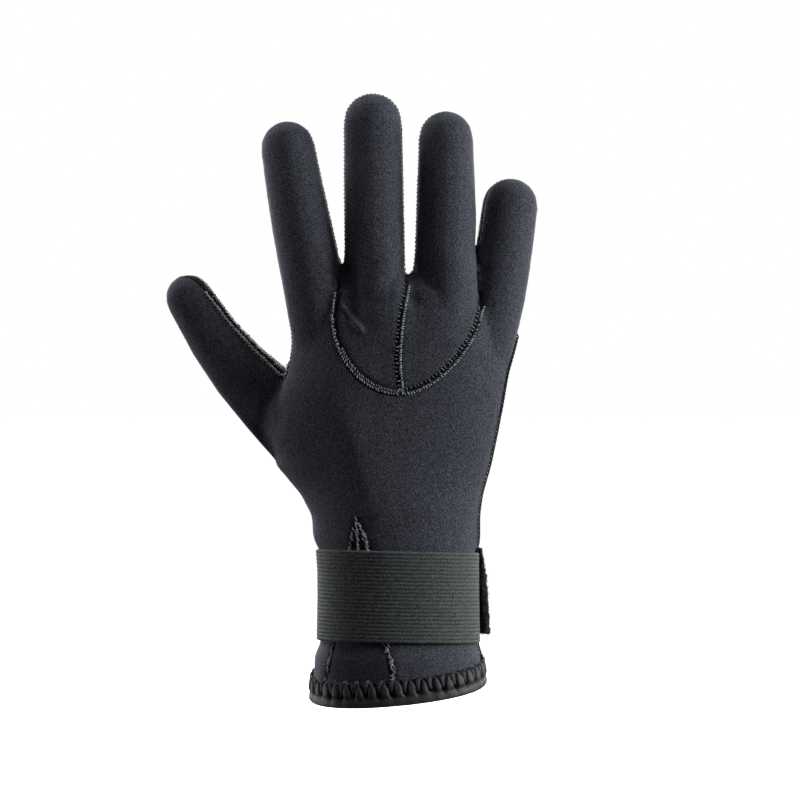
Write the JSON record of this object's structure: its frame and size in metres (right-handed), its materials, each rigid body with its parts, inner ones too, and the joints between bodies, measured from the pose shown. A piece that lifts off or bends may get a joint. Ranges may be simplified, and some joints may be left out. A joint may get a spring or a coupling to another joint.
{
  "type": "neoprene fishing glove",
  "caption": "Full-finger right-hand neoprene glove in its worn form, with sewn finger inserts, an elastic wrist strap with a hook-and-loop tab and a bound cuff",
  "frame": {"origin": "centre of the wrist opening, in the plane of the hem's lower edge", "axes": "+Z from the wrist opening towards the fingertips, -Y out of the back of the hand, -X towards the thumb"},
  "size_m": [0.1652, 0.0585, 0.2687],
  "materials": {
    "jersey": "charcoal knitted jersey on neoprene, matt",
    "grip": "black rubbery grip print, greenish, pebbled",
    "elastic": "woven elastic with fine cross ribs, greenish black",
    "hook_tape": "fuzzy black hook-and-loop tape",
    "binding": "folded stretch binding, black, slightly shiny on its rolled edge"
  },
  "bodies": {
    "root": {"back_panel": "jersey", "middle_insert": "jersey", "ring_insert": "jersey", "wrist_gusset": "jersey", "palm_panel": "grip", "wrist_strap": "elastic", "strap_tab": "hook_tape", "cuff_binding": "binding"}
  },
  "joints": []
}
